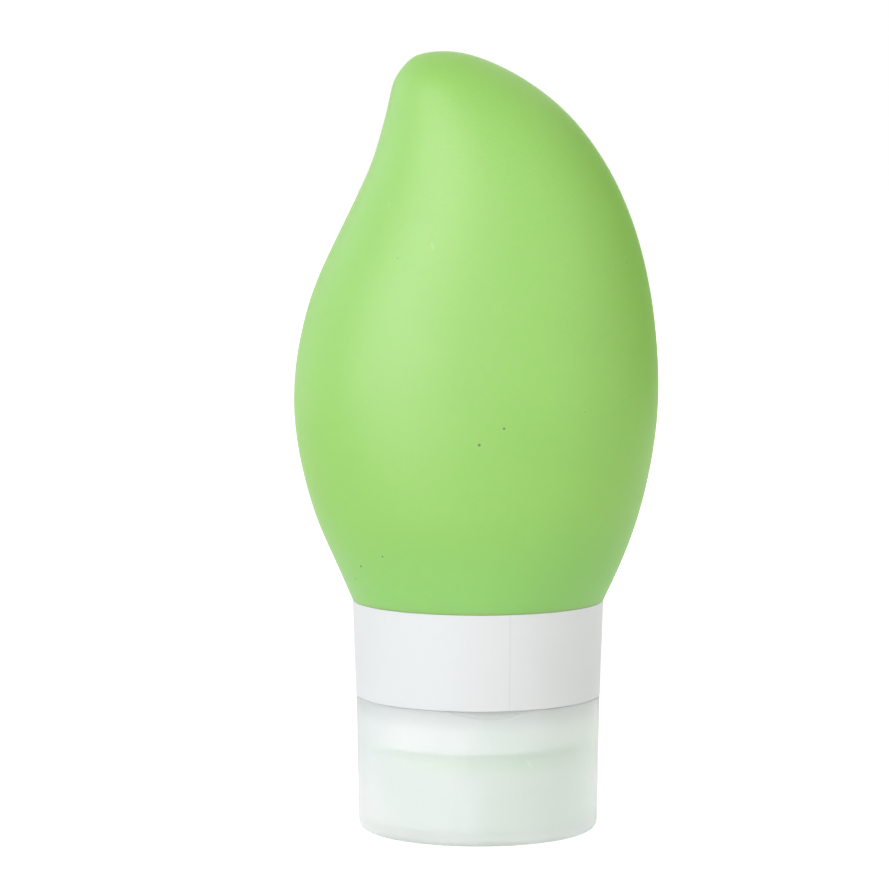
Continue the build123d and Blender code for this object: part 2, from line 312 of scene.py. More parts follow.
def makeScuffGroup():
    # short thin scratches: specks drawn out along one lean, kept here and there
    values = ["Scale", "Tilt", "Share", "Width"]
    tree, taken, given = newShaderGroup("handScuffs", values, "Mask")
    inputs = {"Vector": taken["Vector"], "Angle": taken["Tilt"]}
    leaning = flow(tree, "ShaderNodeVectorRotate", inputs, rotation_type="Y_AXIS")
    inputs = {0: leaning, 1: marks["scuffStretch"]}
    long = flow(tree, "ShaderNodeVectorMath", inputs, operation="MULTIPLY")
    distance, chosen, random = scattered(tree, long, taken)
    grown = maths(tree, "ADD", random, marks["scuffLeast"])
    width = maths(tree, "MULTIPLY", taken["Width"], grown)
    stroke = ramp(tree, distance, 0.0, width, 1.0, 0.0)
    tree.links.new(maths(tree, "MULTIPLY", stroke, chosen), given["Mask"])
    return tree


groups = {
    "drift": makeDriftGroup(),
    "grain": makeGrainGroup(),
    "dust": makeDustGroup(),
    "scuff": makeScuffGroup(),
}
print("stage: node trees and shader groups built")


# Finishes. Colours are written as a picture has them, from 0 to 255, and "shader" holds what is
# the same all over the surface
def linear(colour):
    parts = []
    for part in colour:
        share = part / 255
        parts.append(share / 12.92 if share <= 0.04045 else ((share + 0.055) / 1.055) ** 2.4)
    return (*parts, 1.0)


def clearNodes(owner):
    owner.use_nodes = True
    owner.node_tree.nodes.clear()
    return owner.node_tree


def newMaterial(name, values):
    material = bpy.data.materials.new(name)
    tree = clearNodes(material)
    spot = place(tree, "ShaderNodeTexCoord").outputs["Object"]
    settings = {"subsurface_method": "RANDOM_WALK"}
    surface = place(tree, "ShaderNodeBsdfPrincipled", values["shader"], **settings)
    end = place(tree, "ShaderNodeOutputMaterial", {"Surface": surface.outputs[0]})
    return material, tree, spot, surface, end


def shared(tree, kind, spot, values):
    # a shared group, whose inputs take this finish's values: dust's "Share" takes "dustShare"
    made = place(tree, "ShaderNodeGroup", {"Vector": spot}, node_tree=groups[kind])
    for socket in made.inputs[1:]:
        socket.default_value = values[kind + socket.name.replace(" ", "")]
    return made.outputs[0]


def mixColour(tree, share, first, second):
    mixed = place(tree, "ShaderNodeMix", data_type="RGBA")
    sockets = [mixed.inputs[0]] + [socket for socket in mixed.inputs if socket.type == "RGBA"]
    for socket, value in zip(sockets, (share, first, second)):
        feed(tree, socket, linear(value) if isinstance(value, tuple) else value)
    return [socket for socket in mixed.outputs if socket.type == "RGBA"][0]


def driftingTone(tree, spot, values):
    drift = shared(tree, "drift", spot, values)
    return drift, mixColour(tree, drift, values["colour"], values["deeper"])


def marked(tree, kind, mask, tone, values):
    # the tone with one kind of mark over it, in its own colour and depth
    share = maths(tree, "MULTIPLY", mask, values[kind + "Depth"])
    return mixColour(tree, share, tone, values[kind + "Colour"])


def wornRoughness(tree, surface, drift, scuffs, values):
    rough = maths(tree, "MULTIPLY_ADD", drift, values["roughnessDrift"], values["roughness"])
    rough = maths(tree, "MULTIPLY_ADD", scuffs, values["scuffRoughness"], rough, clamp=True)
    tree.links.new(rough, surface.inputs["Roughness"])


def raised(tree, surface, height, values):
    inputs = {
        "Strength": values["grainStrength"],
        "Distance": values["grainDepth"],
        "Height": height,
    }
    tree.links.new(flow(tree, "ShaderNodeBump", inputs), surface.inputs["Normal"])


def siliconeFinish(name, values):
    material, tree, spot, surface, _ = newMaterial(name, values)
    drift, tone = driftingTone(tree, spot, values)
    # painted sheen: from the shoulder up, where the wall is thicker, the silicone is painted a
    # little cooler than the wall above it
    level = place(tree, "ShaderNodeSeparateXYZ", {0: spot}).outputs[2]
    thick = ramp(tree, level, values["thickFrom"], values["thickTo"], 1.0, 0.0)
    paintedSheenTone = marked(tree, "thick", thick, tone, values)
    scuffs = shared(tree, "scuff", spot, values)
    worn = marked(tree, "scuff", scuffs, paintedSheenTone, values)
    dust = shared(tree, "dust", spot, values)
    dusty = marked(tree, "dust", dust, worn, values)
    tree.links.new(dusty, surface.inputs["Base Color"])
    wornRoughness(tree, surface, drift, scuffs, values)
    grain = shared(tree, "grain", spot, values)
    raised(tree, surface, maths(tree, "MULTIPLY_ADD", dust, values["dustRelief"], grain), values)
    return material


greenSilicone = {
    "colour": (154, 209, 98),
    "deeper": (149, 205, 93),
    "driftScale": 28.0,
    # thickColour, thickFrom, thickTo and thickDepth paint a sheen: the lower wall is painted cooler
    # and bluer
    "thickColour": (145, 209, 110),
    "thickFrom": 0.034,
    "thickTo": 0.052,
    "thickDepth": 0.7,
    "dustScale": 333.0,
    "dustSize": 0.075,
    "dustShare": 0.5,
    "dustDepth": 0.75,
    "dustColour": (60, 72, 52),
    "dustRelief": 1.5,
    "scuffScale": 260.0,
    "scuffTilt": 0.35,
    "scuffShare": 0.14,
    "scuffWidth": 0.1,
    "scuffDepth": 0.3,
    "scuffColour": (206, 236, 186),
    "scuffRoughness": 0.12,
    "roughness": 0.46,
    "roughnessDrift": 0.06,
    "grainScale": 2400.0,
    "grainWaveScale": 160.0,
    "grainWaveShare": 0.5,
    "grainStrength": 0.35,
    "grainDepth": 0.00006,
    "shader": {
        "IOR": 1.43,
        "Specular IOR Level": 0.8,
        "Subsurface Weight": 0.6,
        "Subsurface Radius": (0.6, 1.0, 0.35),
        "Subsurface Scale": 0.003,
    },
}
sealSilicone = dict(
    greenSilicone,
    colour=(136, 205, 116),
    deeper=(128, 198, 107),
    thickDepth=0.0,
    dustShare=0.05,
    scuffShare=0.2,
    roughness=0.4,
    shader={**greenSilicone["shader"], "Subsurface Scale": 0.0009},
)


def plasticFinish(name, values):
    material, tree, spot, surface, _ = newMaterial(name, values)
    drift, tone = driftingTone(tree, spot, values)
    scuffs = shared(tree, "scuff", spot, values)
    worn = marked(tree, "scuff", scuffs, tone, values)
    dusty = marked(tree, "dust", shared(tree, "dust", spot, values), worn, values)
    # a faint line where the mould's halves met, at one angle round the wall
    across, forth, _ = place(tree, "ShaderNodeSeparateXYZ", {0: spot}).outputs
    angle = maths(tree, "ARCTAN2", across, maths(tree, "MULTIPLY", forth, -1.0))
    away = maths(tree, "ABSOLUTE", maths(tree, "SUBTRACT", angle, values["lineAngle"]))
    line = ramp(tree, away, 0.0, values["lineWidth"], 1.0, 0.0)
    lined = marked(tree, "line", line, dusty, values)
    tree.links.new(lined, surface.inputs["Base Color"])
    wornRoughness(tree, surface, drift, scuffs, values)
    grain = shared(tree, "grain", spot, values)
    raised(tree, surface, maths(tree, "MULTIPLY_ADD", line, values["lineRelief"], grain), values)
    return material


whitePlastic = {
    "colour": (232, 234, 234),
    "deeper": (228, 230, 230),
    "driftScale": 45.0,
    "scuffScale": 420.0,
    "scuffTilt": 0.9,
    "scuffShare": 0.2,
    "scuffWidth": 0.1,
    "scuffDepth": 0.3,
    "scuffColour": (214, 216, 214),
    "scuffRoughness": 0.15,
    "dustScale": 360.0,
    "dustSize": 0.05,
    "dustShare": 0.06,
    "dustDepth": 0.35,
    "dustColour": (150, 150, 146),
    "lineAngle": 0.2445,
    "lineWidth": 0.012,
    "lineDepth": 0.25,
    "lineRelief": 1.5,
    "lineColour": (206, 208, 206),
    "roughness": 0.36,
    "roughnessDrift": 0.08,
    "grainScale": 1800.0,
    "grainWaveScale": 120.0,
    "grainWaveShare": 1.2,
    "grainStrength": 0.2,
    "grainDepth": 0.00004,
    "shader": {
        "IOR": 1.49,
        "Specular IOR Level": 0.26,
        "Subsurface Weight": 0.15,
        "Subsurface Radius": (1.0, 0.95, 0.9),
        "Subsurface Scale": 0.0008,
    },
}


def clearFinish(name, values):
    material, tree, spot, surface, end = newMaterial(name, values)
    drift, tone = driftingTone(tree, spot, values)
    scuffs = shared(tree, "scuff", spot, values)
    worn = marked(tree, "scuff", scuffs, tone, values)
    # painted shade: the wall's top band, by the rim, is painted a little greyer for the shade under
    # the seam
    level = place(tree, "ShaderNodeSeparateXYZ", {0: spot}).outputs[2]
    rim = ramp(tree, level, values["rimFrom"], values["rimTo"])
    tree.links.new(marked(tree, "rim", rim, worn, values), surface.inputs["Base Color"])
    wornRoughness(tree, surface, drift, scuffs, values)
    raised(tree, surface, shared(tree, "grain", spot, values), values)
    # lamplight passes through the wall to what stands inside it
    passing = flow(tree, "ShaderNodeBsdfTransparent")
    path = place(tree, "ShaderNodeLightPath").outputs
    share = maths(tree, "MULTIPLY", path["Is Shadow Ray"], values["lightPassing"])
    mixed = flow(tree, "ShaderNodeMixShader", {0: share, 1: surface.outputs[0], 2: passing})
    tree.links.new(mixed, end.inputs["Surface"])
    return material


clearPlastic = {
    "colour": (243, 245, 243),
    "deeper": (231, 238, 232),
    "driftScale": 45.0,
    # rimColour and the levels after it paint shade: a greyer band below the seam
    "rimColour": (226, 229, 227),
    "rimFrom": 0.0166,
    "rimTo": 0.0186,
    "rimDepth": 0.6,
    "scuffScale": 380.0,
    "scuffTilt": 0.7,
    "scuffShare": 0.45,
    "scuffWidth": 0.12,
    "scuffDepth": 0.6,
    "scuffColour": (250, 252, 250),
    "scuffRoughness": 0.2,
    "roughness": 0.34,
    "roughnessDrift": 0.05,
    "grainScale": 1500.0,
    "grainWaveScale": 140.0,
    "grainWaveShare": 1.5,
    "grainStrength": 0.15,
    "grainDepth": 0.00005,
    "lightPassing": 1.0,
    "shader": {"Transmission Weight": 0.55, "IOR": 1.38, "Specular IOR Level": 0.3},
}


def steelFinish(name, values):
    material, tree, spot, surface, _ = newMaterial(name, values)
    drift, tone = driftingTone(tree, spot, values)
    drawn = marked(tree, "scuff", shared(tree, "scuff", spot, values), tone, values)
    tree.links.new(drawn, surface.inputs["Base Color"])
    rough = maths(tree, "MULTIPLY_ADD", drift, values["roughnessDrift"], values["roughness"])
    tree.links.new(rough, surface.inputs["Roughness"])
    return material


pinSteel = {
    "colour": (196, 198, 200),
    "deeper": (176, 178, 182),
    "driftScale": 900.0,
    "scuffScale": 2500.0,
    "scuffTilt": 1.57,
    "scuffShare": 0.6,
    "scuffWidth": 0.3,
    "scuffDepth": 1.0,
    "scuffColour": (214, 215, 216),
    "roughness": 0.3,
    "roughnessDrift": 0.12,
    "shader": {"Metallic": 1.0},
}

bodyFinish = siliconeFinish("bodySilicone", greenSilicone)
sealFinish = siliconeFinish("softSealSilicone", sealSilicone)
collarFinish = plasticFinish("glossWhitePlastic", whitePlastic)
lidFinish = clearFinish("milkyClearPlastic", clearPlastic)
pinFinish = steelFinish("brushedPinSteel", pinSteel)
print("stage: finishes made")

# Shaping
shaping = {
    "pathRadius": 10,
    "bendSteps": 4,
    "merge": 0.2e-6,
    "creaseAngle": 38.0,
    "faceWeight": 60,
}


def addObject(name, mesh):
    made = bpy.data.objects.new(name, mesh)
    bpy.context.collection.objects.link(made)
    return made


def addShape(name, shape):
    mesh = bpy.data.meshes.new(name)
    shape.to_mesh(mesh)
    shape.free()
    return addObject(name, mesh)


def addChain(name, points, closed):
    # a chain of edges through points in mm, which a tree turns or sweeps
    mesh = bpy.data.meshes.new(name)
    count = len(points)
    edges = [(i, i + 1) for i in range(count - 1)] + ([(count - 1, 0)] if closed else [])
    mesh.from_pydata([(x * mm, y * mm, 0) for x, y in points], edges, [])
    return addObject(name, mesh)


def plainMesh(item):
    # the item's mesh with its modifiers in it, and the modifiers gone
    bpy.context.view_layer.update()
    depsgraph = bpy.context.evaluated_depsgraph_get()
    mesh = bpy.data.meshes.new_from_object(item.evaluated_get(depsgraph), depsgraph=depsgraph)
    item.modifiers.clear()
    old = item.data
    item.data = mesh
    bpy.data.meshes.remove(old)
    mesh.name = item.name
    return item


def runTree(item, tree, values):
    modifier = item.modifiers.new(tree.name, "NODES")
    modifier.node_group = tree
    sockets = {s.name: s.identifier for s in tree.interface.items_tree if s.in_out == "INPUT"}
    for key, value in values.items():
        modifier[sockets[key]] = value
    return plainMesh(item)


def outwards(item):
    shape = bmesh.new()
    shape.from_mesh(item.data)
    bmesh.ops.remove_doubles(shape, verts=shape.verts, dist=shaping["merge"])
    bmesh.ops.recalc_face_normals(shape, faces=shape.faces)
    shape.to_mesh(item.data)
    shape.free()
    return item


def carve(item, tool, operation):
    modifier = item.modifiers.new("carve", "BOOLEAN")
    modifier.operation = operation
    modifier.solver = "EXACT"
    modifier.object = tool
    plainMesh(item)
    mesh = tool.data
    bpy.data.objects.remove(tool)
    bpy.data.meshes.remove(mesh)
    return item


def finishShading(item, creaseAngle=shaping["creaseAngle"]):
    # smooth faces that keep the flat walls flat beside their rounded corners
    mesh = item.data
    mesh.shade_smooth()
    mesh.set_sharp_from_angle(angle=math.radians(creaseAngle))
    weighted = item.modifiers.new("weighted", "WEIGHTED_NORMAL")
    weighted.keep_sharp = True
    weighted.weight = shaping["faceWeight"]
    return plainMesh(item)


def paint(item, material):
    item.data.materials.clear()
    item.data.materials.append(material)
    for face in item.data.polygons:
        face.material_index = 0
    return item


def rowsOf(sizes):
    # a piece's profile rows, each with its radius, its level and its corner's bend in mm
    return [(sizes[radius], sizes[level], bend) for radius, level, bend in sizes["profile"]]


def turned(name, rows, material, closed=True, segments=192):
    item = addChain(name, [(radius, level) for radius, level, _ in rows], closed)
    bends = item.data.attributes.new("bend", "FLOAT", "POINT")
    bends.data.foreach_set("value", [bend * mm for _, _, bend in rows])
    values = {
        "Segments": segments,
        "Path Radius": shaping["pathRadius"] * mm,
        "Bend Steps": shaping["bendSteps"],
        "Material": material,
    }
    return outwards(runTree(item, turnedTree, values))


def thread(name, values, material):
    # the tooth's four corners, buried a little in the wall that carries it
    buried, proud = -values["side"] * values["buried"], values["side"] * values["depth"]
    root, crest = values["rootHalf"], values["crestHalf"]
    corners = [(buried, -root), (proud, -crest), (proud, crest), (buried, root)]
    inputs = {
        "Root Radius": values["rootRadius"] * mm,
        "Pitch": values["pitch"] * mm,
        "Turns": values["turns"],
        "Start Level": values["startLevel"] * mm,
        "Start Angle": math.radians(values["startAngle"]),
        "Runout": values["runout"],
        "Steps": values["steps"],
        "Material": material,
    }
    item = runTree(addChain(name, corners, closed=True), threadTree, inputs)
    return finishShading(outwards(item), values["creaseAngle"])


def hingeRod(radius, half, sides=cap["reliefSides"]):
    # a round cutter along the hinge's axis
    shape = bmesh.new()
    radii = {"radius1": radius * mm, "radius2": radius * mm}
    bmesh.ops.create_cone(shape, cap_ends=True, segments=sides, depth=2 * half * mm, **radii)
    turn = capAcross.to_track_quat("Z", "Y").to_matrix().to_4x4()
    moved = Matrix.Translation(hingeCentre * mm) @ turn
    bmesh.ops.transform(shape, matrix=moved, verts=shape.verts)
    return addShape("hingeRod", shape)


def hingeLug(lift, near, far):
    # a round eye on the hinge with a web running into the wall, above it or below it
    across = cap["webRadius"] - cap["hingeOffset"]
    reach, eye, steps = cap["lugReach"], cap["lugRadius"], cap["lugSteps"]
    tilt = math.atan2(reach, across) - math.acos(eye / math.hypot(across, reach))
    start, end = math.radians(cap["lugStart"]), math.radians(360) + tilt
    angles = [start + (end - start) * step / steps for step in range(steps + 1)]
    outline = [(eye * math.cos(angle), eye * math.sin(angle)) for angle in angles]
    outline = [(across, cap["webFoot"]), *outline, (across, reach)]
    shape = bmesh.new()
    rings = []
    for along in (near, far):
        ring = []
        for u, w in outline:
            spot = hingeCentre + capOut * u + Vector((0, 0, lift * w)) + capAcross * along
            ring.append(shape.verts.new(spot * mm))
        rings.append(ring)
    shape.faces.new(rings[0])
    shape.faces.new(rings[1][::-1])
    for i in range(len(outline)):
        j = (i + 1) % len(outline)
        shape.faces.new((rings[0][j], rings[0][i], rings[1][i], rings[1][j]))
    rims = [edge for edge in shape.edges if any(len(face.verts) > 4 for face in edge.link_faces)]
    bmesh.ops.bevel(
        shape,
        geom=rims,
        offset=cap["lugBevel"] * mm,
        segments=cap["bevelSteps"],
        profile=0.5,
        affect="EDGES",
        clamp_overlap=True,
    )
    bmesh.ops.recalc_face_normals(shape, faces=shape.faces)
    return addShape("hingeLug", shape)


# Bottle body. Rows from the shoulder up: height as a share of the body's height, centre and half
# width as shares of the half width, half depth as a share of its own, and how squared it is
body = {
    "base": 34.0,
    "shoulder": 33.94,
    "height": 80.4,
    "halfWidth": 26.8,
    "halfDepth": 21.3,
    "collarRadius": 18.5,
    "apexShare": -0.190,
    "wall": 2.2,
    "shoulderWall": 3.6,
    "neckEnd": 24.75,
    "neckRadius": 15.5,
    "neckBore": 12.9,
    "boreTop": 34.5,
    "shoulderBend": 0.06,
    "rootBend": 0.5,
    "neckEndBend": 0.35,
    "boreBend": 0.8,
    "bendSteps": 5,
    "bendMost": 0.49,
    "around": 168,
    "outerRings": 150,
    "innerRings": 44,
    "apexGather": 1.5,
    "pointWidth": 1e-6,
    "rows": [
        (0.070, 0.002, 0.785, 0.912, 0.97),
        (0.143, -0.005, 0.873, 0.962, 0.94),
        (0.217, -0.010, 0.937, 0.988, 0.92),
        (0.290, -0.013, 0.979, 1.000, 0.91),
        (0.364, -0.012, 0.998, 0.996, 0.90),
        (0.438, -0.006, 0.990, 0.976, 0.90),
        (0.511, 0.006, 0.959, 0.942, 0.90),
        (0.584, 0.024, 0.906, 0.894, 0.90),
        (0.656, 0.047, 0.830, 0.832, 0.90),
        (0.730, 0.061, 0.736, 0.760, 0.91),
        (0.802, 0.053, 0.632, 0.675, 0.92),
        (0.857, 0.020, 0.548, 0.598, 0.93),
        (0.911, -0.039, 0.448, 0.502, 0.94),
        (0.947, -0.099, 0.360, 0.415, 0.96),
        (0.974, -0.146, 0.259, 0.310, 0.98),
        (0.990, -0.179, 0.171, 0.206, 1.00),
    ],
}


def smoothThrough(stops, values, flatEnd):
    # a cubic through every row, free at the shoulder and level or free at the tip
    count = len(stops)
    gaps = np.diff(stops)
    rises = np.diff(values) / gaps
    system, right = np.zeros((count, count)), np.zeros(count)
    system[0, 0] = 1
    for i in range(1, count - 1):
        system[i, i - 1 : i + 2] = gaps[i - 1], 2 * (gaps[i - 1] + gaps[i]), gaps[i]
        right[i] = 6 * (rises[i] - rises[i - 1])
    if flatEnd:
        system[-1, -2:] = gaps[-1], 2 * gaps[-1]
        right[-1] = -6 * rises[-1]
    else:
        system[-1, -1] = 1
    bend = np.linalg.solve(system, right)

    def at(stop):
        i = int(np.clip(np.searchsorted(stops, stop) - 1, 0, count - 2))
        left, rest, gap = stop - stops[i], stops[i + 1] - stop, gaps[i]
        return (
            (bend[i] * rest**3 + bend[i + 1] * left**3) / (6 * gap)
            + (values[i] / gap - bend[i] * gap / 6) * rest
            + (values[i + 1] / gap - bend[i + 1] * gap / 6) * left
        )

    return at


def ringsBetween(rows, count):
    # rings from the first row to the apex, closer together towards the tip
    table = np.array(rows, float)
    steps = np.hypot(np.diff(table[:, 0]), np.diff(table[:, 2] + table[:, 3]) / 2)
    stops = np.concatenate([[0], np.cumsum(steps)])
    curves = [smoothThrough(stops, table[:, k], k in (0, 1, 4)) for k in range(5)]
    rings = []
    for step in range(count + 1):
        share = 1 - (1 - step / count) ** body["apexGather"]
        ring = [curve(share * stops[-1]) for curve in curves]
        ring[2], ring[3] = max(ring[2], 0.0), max(ring[3], 0.0)
        rings.append(ring)
    return rings


def roundCorner(before, corner, after, bend):
    # rings that round one corner of the wall between its neighbours
    before, corner, after = (np.array(ring, float) for ring in (before, corner, after))

    def towards(other):
        length = math.hypot(other[0] - corner[0], (other[2] + other[3] - corner[2] - corner[3]) / 2)
        return corner + (other - corner) * min(body["bendMost"], bend / length)

    start, end = towards(before), towards(after)
    shares = [step / body["bendSteps"] for step in range(body["bendSteps"] + 1)]
    return [start * (1 - s) ** 2 + corner * 2 * s * (1 - s) + end * s**2 for s in shares]


def roundRow(level, radius):
    return (level, 0.0, radius, radius, 1.0)


def bodyRings():
    shoulder = roundRow(body["shoulder"], body["collarRadius"])
    rows = [shoulder]
    for height, centre, width, depth, squared in body["rows"]:
        level = body["base"] + height * body["height"]
        width, centre = width * body["halfWidth"], centre * body["halfWidth"]
        rows.append((level, centre, width, depth * body["halfDepth"], squared))
    apex = body["base"] + body["height"]
    tip = body["apexShare"] * body["halfWidth"]
    rows.append((apex, tip, 0.0, 0.0, 1.0))
    # the cavity's rows stand in from the skin by the wall, square to it
    boreTop = roundRow(body["boreTop"], body["neckBore"])
    level, centre, width, depth, _ = rows[1]
    thick = body["shoulderWall"]
    inner = [boreTop, (level, centre, width - thick, depth - thick, 1.0)]
    for lower, here, upper in zip(rows[1:-2], rows[2:-1], rows[3:]):
        rise = upper[0] - lower[0]
        spread = (upper[2] + upper[3] - lower[2] - lower[3]) / 2
        slant = math.hypot(rise, spread)
        sideways = body["wall"] * rise / slant
        level = here[0] + body["wall"] * spread / slant
        inner.append((level, here[1], here[2] - sideways, here[3] - sideways, here[4]))
    inner.append((apex - body["wall"], tip, 0.0, 0.0, 1.0))
    outerRings = ringsBetween(rows, body["outerRings"])
    innerRings = ringsBetween(inner, body["innerRings"])
    root = roundRow(body["shoulder"], body["neckRadius"])
    endOuter = roundRow(body["neckEnd"], body["neckRadius"])
    endInner = roundRow(body["neckEnd"], body["neckBore"])
    rings = outerRings[:1:-1]
    rings += roundCorner(outerRings[1], shoulder, root, body["shoulderBend"])
    rings += roundCorner(shoulder, root, endOuter, body["rootBend"])
    rings += roundCorner(root, endOuter, endInner, body["neckEndBend"])
    rings += roundCorner(endOuter, endInner, boreTop, body["neckEndBend"])
    rings += roundCorner(endInner, boreTop, innerRings[2], body["boreBend"])
    return rings + innerRings[2:]


def meshFromRings(name, rings, around):
    shape = bmesh.new()
    previous = None
    for level, centre, width, depth, squared in rings:
        if width < body["pointWidth"]:
            ring = [shape.verts.new((centre * mm, 0, level * mm))]
        else:
            ring = []
            for step in range(around):
                turn = 2 * math.pi * step / around
                c, s = math.cos(turn), math.sin(turn)
                x = centre + width * math.copysign(abs(c) ** squared, c)
                y = depth * math.copysign(abs(s) ** squared, s)
                ring.append(shape.verts.new((x * mm, y * mm, level * mm)))
        if previous:
            for i in range(around):
                j = (i + 1) % around
                corners = [previous[i % len(previous)], previous[j % len(previous)]]
                corners += [ring[j % len(ring)], ring[i % len(ring)]]
                shape.faces.new(list(dict.fromkeys(corners)))
        previous = ring
    bmesh.ops.recalc_face_normals(shape, faces=shape.faces)
    return addShape(name, shape)


bottleSkin = meshFromRings("bottleSkin", bodyRings(), body["around"])
paint(bottleSkin, bodyFinish)
bottleSkin.data.shade_smooth()

neckThreadSizes = {
    "side": 1,
    "rootRadius": 15.5,
    "buried": 0.25,
    "depth": 0.85,
    "rootHalf": 0.8,
    "crestHalf": 0.4,
    "pitch": 4.0,
    "turns": 1.6,
    "startLevel": 26.45,
    "startAngle": 0.0,
    "runout": 0.06,
    "steps": 120,
    "creaseAngle": 50,
}
neckThread = thread("neckThread", neckThreadSizes, bodyFinish)
print("stage: bottle body with its neck and thread", len(bottleSkin.data.polygons))

# Neck sleeve and gasket
sleeve = {
    "flangeFoot": 23.75,
    "flangeTop": 24.75,
    "end": 33.35,
    "bore": 11.88,
    "radius": 12.88,
    "flangeRadius": 15.5,
    "profile": [
        ("bore", "flangeFoot", 0.25),
        ("flangeRadius", "flangeFoot", 0.25),
        ("flangeRadius", "flangeTop", 0.15),
        ("radius", "flangeTop", 0.1),
        ("radius", "end", 0.2),
        ("bore", "end", 0.2),
    ],
}
neckSleeve = turned("neckSleeve", rowsOf(sleeve), collarFinish)
gasket = {
    "foot": 22.55,
    "top": 23.75,
    "bore": 12.4,
    "radius": 16.2,
    "profile": [
        ("bore", "foot", 0.35),
        ("radius", "foot", 0.35),
        ("radius", "top", 0.35),
        ("bore", "top", 0.35),
    ],
}
neckGasket = turned("neckGasketRing", rowsOf(gasket), sealFinish)

# Collar, from its top edge outside, down to the spigot, boss and nozzle, and back up inside
collar = {
    "top": 33.9,
    "foot": 19.9,
    "topRadius": 18.5,
    "footRadius": 18.03,
    "bore": 16.7,
    "ledge": 21.55,
    "spigotTop": 16.52,
    "spigotFoot": 15.9,
    "spigotBore": 14.5,
    "deck": 13.15,
    "deckTop": 14.65,
    "bossRadius": 13.6,
    "bossBore": 12.4,
    "bossLip": 14.0,
    "bossFoot": 10.55,
    "sealFoot": 10.95,
    "nozzleRadius": 5.9,
    "nozzleFoot": 12.25,
    "orifice": 4.5,
    "seatBore": 7.42,
    "seatRadius": 8.3,
    "seatTop": 15.55,
    "profile": [
        ("bore", "top", 0.3),
        ("topRadius", "top", 0.06),
        ("footRadius", "foot", 0.07),
        ("spigotTop", "foot", 0.12),
        ("spigotFoot", "deck", 0.3),
        ("bossRadius", "deck", 0.08),
        ("bossRadius", "sealFoot", 0.08),
        ("bossLip", "sealFoot", 0.1),
        ("bossRadius", "bossFoot", 0.1),
        ("bossBore", "bossFoot", 0.3),
        ("bossBore", "deck", 0.4),
        ("nozzleRadius", "deck", 0.3),
        ("nozzleRadius", "nozzleFoot", 0.35),
        ("orifice", "nozzleFoot", 0.3),
        ("orifice", "deckTop", 0.05),
        ("seatBore", "deckTop", 0.05),
        ("seatBore", "seatTop", 0.1),
        ("seatRadius", "seatTop", 0.2),
        ("seatRadius", "deckTop", 0.2),
        ("spigotBore", "deckTop", 0.5),
        ("spigotBore", "ledge", 0.2),
        ("bore", "ledge", 0.2),
    ],
}
collarShell = turned("collarShell", rowsOf(collar), collarFinish, segments=256)
carve(collarShell, hingeRod(cap["reliefRadius"], cap["earInside"]), "DIFFERENCE")
for near, far in ((cap["earInside"], cap["earOutside"]), (-cap["earOutside"], -cap["earInside"])):
    carve(collarShell, hingeLug(1, near, far), "UNION")
pinHoleHalf = cap["earOutside"] + cap["pinHolePast"]
pinHole = hingeRod(cap["pinHoleRadius"], pinHoleHalf, cap["pinHoleSides"])
carve(collarShell, pinHole, "DIFFERENCE")
finishShading(paint(outwards(collarShell), collarFinish))

collarThreadSizes = dict(
    neckThreadSizes,
    side=-1,
    rootRadius=16.7,
    turns=1.5,
    startLevel=26.25,
    startAngle=162.0,
)
collarThread = thread("collarThread", collarThreadSizes, collarFinish)

funnel = {
    "foot": 15.85,
    "bore": 6.0,
    "boreTop": 17.75,
    "tube": 10.2,
    "ledge": 21.55,
    "top": 22.55,
    "flange": 16.2,
    "mouth": 9.0,
    "profile": [
        ("bore", "foot", 0.2),
        ("tube", "foot", 0.3),
        ("tube", "ledge", 0.3),
        ("flange", "ledge", 0.2),
        ("flange", "top", 0.2),
        ("mouth", "top", 0.3),
        ("bore", "boreTop", 0.6),
    ],
}
valveFunnel = turned("valveFunnel", rowsOf(funnel), collarFinish)

valve = {
    "middle": 0,
    "foot": 13.65,
    "headRadius": 4.2,
    "deckTop": 14.65,
    "flangeRadius": 7.4,
    "flangeTop": 15.85,
    "bore": 3.4,
    "membraneTop": 14.35,
    "slitLength": 4.4,
    "slitWidth": 0.16,
    "bladeHeight": 2.0,
    "profile": [
        ("middle", "foot", 0),
        ("headRadius", "foot", 0.35),
        ("headRadius", "deckTop", 0.1),
        ("flangeRadius", "deckTop", 0.15),
        ("flangeRadius", "flangeTop", 0.25),
        ("bore", "flangeTop", 0.3),
        ("bore", "membraneTop", 0.4),
        ("middle", "membraneTop", 0),
    ],
}
dripValve = turned("dripValve", rowsOf(valve), sealFinish, closed=False, segments=128)


def slitBlade(long, wide):
    shape = bmesh.new()
    bmesh.ops.create_cube(shape, size=1.0)
    scale = Matrix.Diagonal((long * mm, wide * mm, valve["bladeHeight"] * mm, 1.0))
    level = (valve["foot"] + valve["membraneTop"]) / 2
    moved = Matrix.Translation((0, 0, level * mm)) @ scale
    bmesh.ops.transform(shape, matrix=moved, verts=shape.verts)
    return addShape("slitBlade", shape)


carve(dripValve, slitBlade(valve["slitLength"], valve["slitWidth"]), "DIFFERENCE")
carve(dripValve, slitBlade(valve["slitWidth"], valve["slitLength"]), "DIFFERENCE")
paint(outwards(dripValve), sealFinish)

ring = {
    "foot": 10.95,
    "top": 13.15,
    "bore": 13.62,
    "footRadius": 15.2,
    "topRadius": 15.7,
    "profile": [
        ("bore", "foot", 0.2),
        ("footRadius", "foot", 0.4),
        ("topRadius", "top", 0.4),
        ("bore", "top", 0.2),
    ],
}
sealRing = turned("sealRing", rowsOf(ring), sealFinish, segments=256)
for piece in (neckSleeve, neckGasket, valveFunnel, dripValve, sealRing):
    finishShading(piece)
print("stage: collar, thread, funnel, valve and rings")

